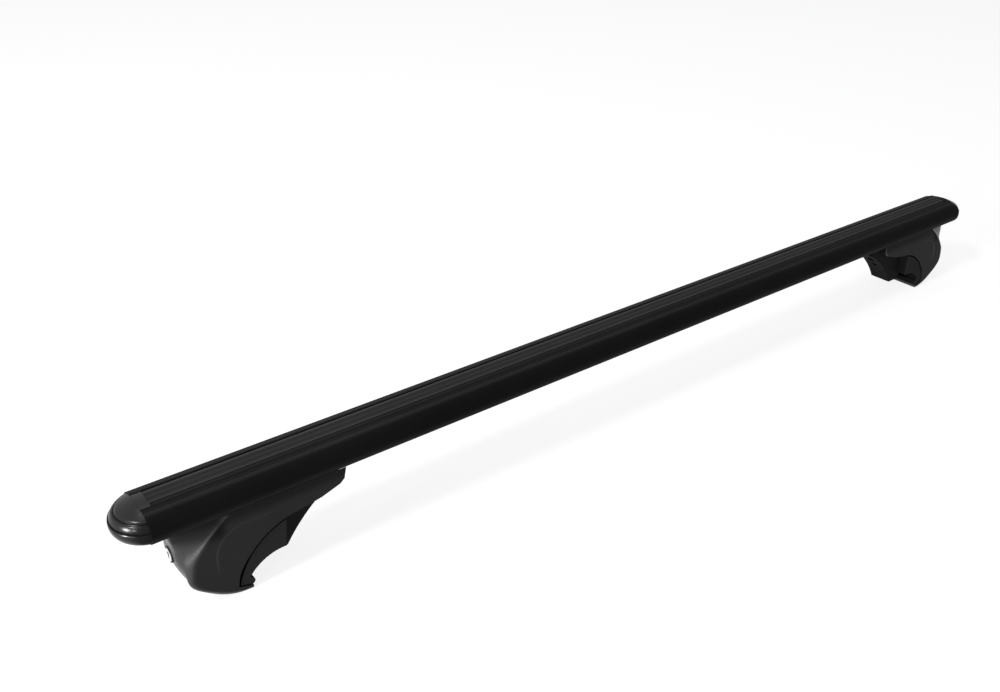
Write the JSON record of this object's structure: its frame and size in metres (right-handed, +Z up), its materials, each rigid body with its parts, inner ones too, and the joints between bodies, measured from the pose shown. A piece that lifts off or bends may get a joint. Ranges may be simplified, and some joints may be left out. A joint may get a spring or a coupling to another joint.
{
  "type": "roof rack crossbar",
  "caption": "Oval roof crossbar with a rubber load strip, stepped end caps and sliding lockable feet that clamp raised roof rails between a claw and an inner jaw.",
  "frame": {"origin": "on the floor under the middle of the bar, level with the lowest point of the claws", "axes": "+X along the bar, +Y along the vehicle, +Z up to the load face"},
  "size_m": [1.1916, 0.06, 0.111],
  "materials": {
    "anodised": "satin black anodised",
    "strip": "matte grey-black rubber",
    "cap": "charcoal, soft gloss",
    "housing": "matte charcoal, fine grain",
    "saddle": "dark grey rubber",
    "core": "matte black glass-filled nylon",
    "pad": "black rubber",
    "steel": "zinc-plated steel",
    "sleeve": "black",
    "plug": "satin nickel"
  },
  "bodies": {
    "bar": {"bar_extrusion": "anodised", "rubber_strip": "strip", "end_cap_left": "cap", "end_cap_right": "cap"},
    "foot_left": {"inner_jaw_left": "core", "jaw_pad_left": "pad", "clamp_nut_left": "steel", "slot_bolts_left": "steel", "slot_nuts_left": "steel", "slot_washers_left": "steel"},
    "claw_left": {"claw_housing_left": "housing", "rail_saddle_left": "saddle", "screw_washer_left": "steel"},
    "screw_left": {"clamp_screw_left": "steel"},
    "lock_left": {"lock_sleeve_left": "sleeve"},
    "plug_left": {"lock_plug_left": "plug"},
    "foot_right": {"inner_jaw_right": "core", "jaw_pad_right": "pad", "clamp_nut_right": "steel", "slot_bolts_right": "steel", "slot_nuts_right": "steel", "slot_washers_right": "steel"},
    "claw_right": {"claw_housing_right": "housing", "rail_saddle_right": "saddle", "screw_washer_right": "steel"},
    "screw_right": {"clamp_screw_right": "steel"},
    "lock_right": {"lock_sleeve_right": "sleeve"},
    "plug_right": {"lock_plug_right": "plug"}
  },
  "joints": [
    {"name": "foot_left_slide", "type": "slide", "parent": "bar", "child": "foot_left", "axis": [1, 0, 0], "range_m": [-0.01, 0.15]},
    {"name": "claw_left_slide", "type": "slide", "parent": "foot_left", "child": "claw_left", "axis": [-1, 0, 0], "range_m": [0, 0.032]},
    {"name": "screw_left_turn", "type": "hinge", "parent": "claw_left", "child": "screw_left", "pos_m": [-0.526, 0, 0.048], "axis": [-1, 0, 0], "range_deg": [0, 9216]},
    {"name": "lock_left_pull", "type": "slide", "parent": "claw_left", "child": "lock_left", "axis": [-1, 0, 0], "range_m": [0, 0.024]},
    {"name": "plug_left_turn", "type": "hinge", "parent": "lock_left", "child": "plug_left", "pos_m": [-0.546, 0, 0.048], "axis": [-1, 0, 0], "range_deg": [0, 90]},
    {"name": "foot_right_slide", "type": "slide", "parent": "bar", "child": "foot_right", "axis": [-1, 0, 0], "range_m": [-0.01, 0.15]},
    {"name": "claw_right_slide", "type": "slide", "parent": "foot_right", "child": "claw_right", "axis": [1, 0, 0], "range_m": [-0.01, 0.022]},
    {"name": "screw_right_turn", "type": "hinge", "parent": "claw_right", "child": "screw_right", "pos_m": [0.536, 0, 0.048], "axis": [1, 0, 0], "range_deg": [-2880, 6336]},
    {"name": "lock_right_pull", "type": "slide", "parent": "claw_right", "child": "lock_right", "axis": [1, 0, 0], "range_m": [0, 0.024]},
    {"name": "plug_right_turn", "type": "hinge", "parent": "lock_right", "child": "plug_right", "pos_m": [0.556, 0, 0.048], "axis": [1, 0, 0], "range_deg": [0, 90]}
  ],
  "couplings": [
    {"joint": "screw_left_turn", "follows": "claw_left_slide", "rad_per_m": 5026.5},
    {"joint": "screw_right_turn", "follows": "claw_right_slide", "rad_per_m": 5026.5}
  ]
}
